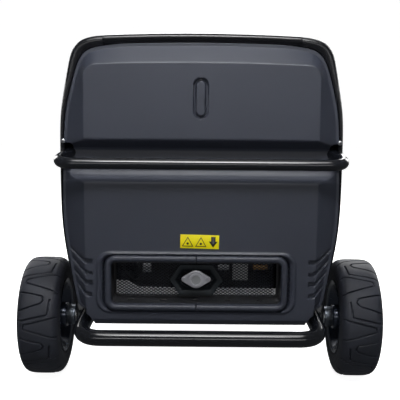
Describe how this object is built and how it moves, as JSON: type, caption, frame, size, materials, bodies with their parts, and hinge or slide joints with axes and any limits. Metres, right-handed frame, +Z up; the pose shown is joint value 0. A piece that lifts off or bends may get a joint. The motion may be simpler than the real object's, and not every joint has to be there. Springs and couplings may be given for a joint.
{
  "type": "wheeled closed-frame inverter generator",
  "caption": "Black enclosed inverter generator with wheels, tubular guard bars, exhaust window and fold-up towing handle.",
  "frame": {"origin": "on the ground, under the middle of the overall box", "axes": "+Z up, +Y along the length towards the control end, the exhaust end faces -Y, +X to the right seen from the exhaust end"},
  "size_m": [0.76, 0.7895, 0.727],
  "materials": {
    "moulded_plastic": "fine matt texture",
    "dark_plastic": "satin",
    "black_paint": "gloss black",
    "zinc": "zinc plated",
    "cast_aluminium": "as cast",
    "galvanised_mesh": "galvanised",
    "tyre_rubber": "matt",
    "rubber": "matt",
    "button_green": "gloss"
  },
  "bodies": {
    "chassis": {"air_filter_box": "dark_plastic", "alternator_stator": "zinc", "axle": "zinc", "axle_bracket_left": "black_paint", "axle_bracket_right": "black_paint", "base_frame": "black_paint", "carburettor": "cast_aluminium", "control_end_cover": "moulded_plastic", "control_panel": "dark_plastic", "cylinder_head": "cast_aluminium", "display_module": "dark_plastic", "engine_block": "cast_aluminium", "exhaust_end_cover": "moulded_plastic", "exhaust_flange": "zinc", "exhaust_heat_plate": "black_paint", "fuel_tank": "dark_plastic", "ground_terminal": "zinc", "guard_mesh": "galvanised_mesh", "handle_bracket_left": "black_paint", "handle_bracket_right": "black_paint", "inverter_module": "cast_aluminium", "lower_bar": "black_paint", "muffler": "zinc", "muffler_heat_shield": "zinc", "outlet_duplex_left": "dark_plastic", "outlet_duplex_right": "dark_plastic", "outlet_locking": "dark_plastic", "recoil_housing": "black_paint", "rubber_foot_left": "rubber", "rubber_foot_right": "rubber", "side_shell_left": "dark_plastic", "side_shell_right": "dark_plastic", "spark_arrestor_screen": "zinc", "stand_leg": "black_paint", "starter_battery": "dark_plastic", "top_cover": "dark_plastic", "upper_bar": "black_paint", "window_bezel_left": "moulded_plastic", "window_bezel_right": "moulded_plastic"},
    "wheel_left": {"tyre_left": "tyre_rubber", "rim_left": "black_paint"},
    "wheel_right": {"tyre_right": "tyre_rubber", "rim_right": "black_paint"},
    "towing_handle": {"handle_tube": "black_paint", "handle_grip": "rubber"},
    "handle_lock": {"handle_lock": "dark_plastic"},
    "door": {"maintenance_door": "dark_plastic"},
    "latch": {"door_latch": "zinc"},
    "cap": {"fuel_cap": "dark_plastic"},
    "crank": {"crankshaft": "zinc", "flywheel_fan": "cast_aluminium"},
    "recoil": {"recoil_grip": "dark_plastic"},
    "switch": {"engine_switch": "dark_plastic"},
    "start": {"start_button": "button_green"},
    "choke": {"choke_knob": "dark_plastic"},
    "eco": {"eco_rocker": "dark_plastic"},
    "breaker": {"breaker_button": "dark_plastic"},
    "lid_locking": {"outlet_lid_locking": "dark_plastic"},
    "lid_duplex_left": {"outlet_lid_duplex_left": "dark_plastic"},
    "lid_duplex_right": {"outlet_lid_duplex_right": "dark_plastic"}
  },
  "joints": [
    {"name": "wheel_left_spin", "type": "hinge", "parent": "chassis", "child": "wheel_left", "pos_m": [-0.336, -0.2, 0.127], "axis": [1, 0, 0], "continuous": true},
    {"name": "wheel_right_spin", "type": "hinge", "parent": "chassis", "child": "wheel_right", "pos_m": [0.336, -0.2, 0.127], "axis": [1, 0, 0], "continuous": true},
    {"name": "handle_fold", "type": "hinge", "parent": "chassis", "child": "towing_handle", "pos_m": [0, 0.376, 0.47], "axis": [1, 0, 0], "range_deg": [0, 105]},
    {"name": "handle_lock_pull", "type": "slide", "parent": "chassis", "child": "handle_lock", "axis": [1, 0, 0], "range_m": [0, 0.008], "stiffness_N_per_m": 800, "springref_m": -0.004},
    {"name": "door_swing", "type": "hinge", "parent": "chassis", "child": "door", "pos_m": [0.283, -0.062, 0.41], "axis": [0, 0, -1], "range_deg": [0, 100]},
    {"name": "latch_turn", "type": "hinge", "parent": "door", "child": "latch", "pos_m": [0.2806, 0.138, 0.41], "axis": [1, 0, 0], "range_deg": [0, 90]},
    {"name": "fuel_cap_turn", "type": "hinge", "parent": "chassis", "child": "cap", "pos_m": [0, 0.13, 0.709], "axis": [0, 0, 1], "range_deg": [0, 120]},
    {"name": "crankshaft_spin", "type": "hinge", "parent": "chassis", "child": "crank", "pos_m": [0, -0.09, 0.3], "axis": [1, 0, 0], "continuous": true},
    {"name": "recoil_pull", "type": "slide", "parent": "chassis", "child": "recoil", "axis": [-1, 0, 0], "range_m": [0, 0.6], "stiffness_N_per_m": 20, "springref_m": -0.2},
    {"name": "engine_switch_turn", "type": "hinge", "parent": "chassis", "child": "switch", "pos_m": [0.132, 0.34, 0.606], "axis": [0, 1, 0], "range_deg": [0, 90]},
    {"name": "start_button_press", "type": "slide", "parent": "chassis", "child": "start", "axis": [0, -1, 0], "range_m": [0, 0.003], "stiffness_N_per_m": 600, "springref_m": -0.002},
    {"name": "choke_pull", "type": "slide", "parent": "chassis", "child": "choke", "axis": [0, 1, 0], "range_m": [0, 0.018]},
    {"name": "eco_rocker_tilt", "type": "hinge", "parent": "chassis", "child": "eco", "pos_m": [0, 0.334, 0.57], "axis": [1, 0, 0], "range_deg": [-8, 8]},
    {"name": "breaker_press", "type": "slide", "parent": "chassis", "child": "breaker", "axis": [0, -1, 0], "range_m": [0, 0.003], "stiffness_N_per_m": 500, "springref_m": -0.002},
    {"name": "lid_locking_flip", "type": "hinge", "parent": "chassis", "child": "lid_locking", "pos_m": [-0.12, 0.3475, 0.496], "axis": [1, 0, 0], "range_deg": [0, 110], "stiffness_Nm_per_rad": 0.01, "springref_deg": -34.38},
    {"name": "lid_duplex_left_flip", "type": "hinge", "parent": "chassis", "child": "lid_duplex_left", "pos_m": [-0.014, 0.3475, 0.506], "axis": [1, 0, 0], "range_deg": [0, 110], "stiffness_Nm_per_rad": 0.01, "springref_deg": -34.38},
    {"name": "lid_duplex_right_flip", "type": "hinge", "parent": "chassis", "child": "lid_duplex_right", "pos_m": [0.084, 0.3475, 0.506], "axis": [1, 0, 0], "range_deg": [0, 110], "stiffness_Nm_per_rad": 0.01, "springref_deg": -34.38}
  ]
}
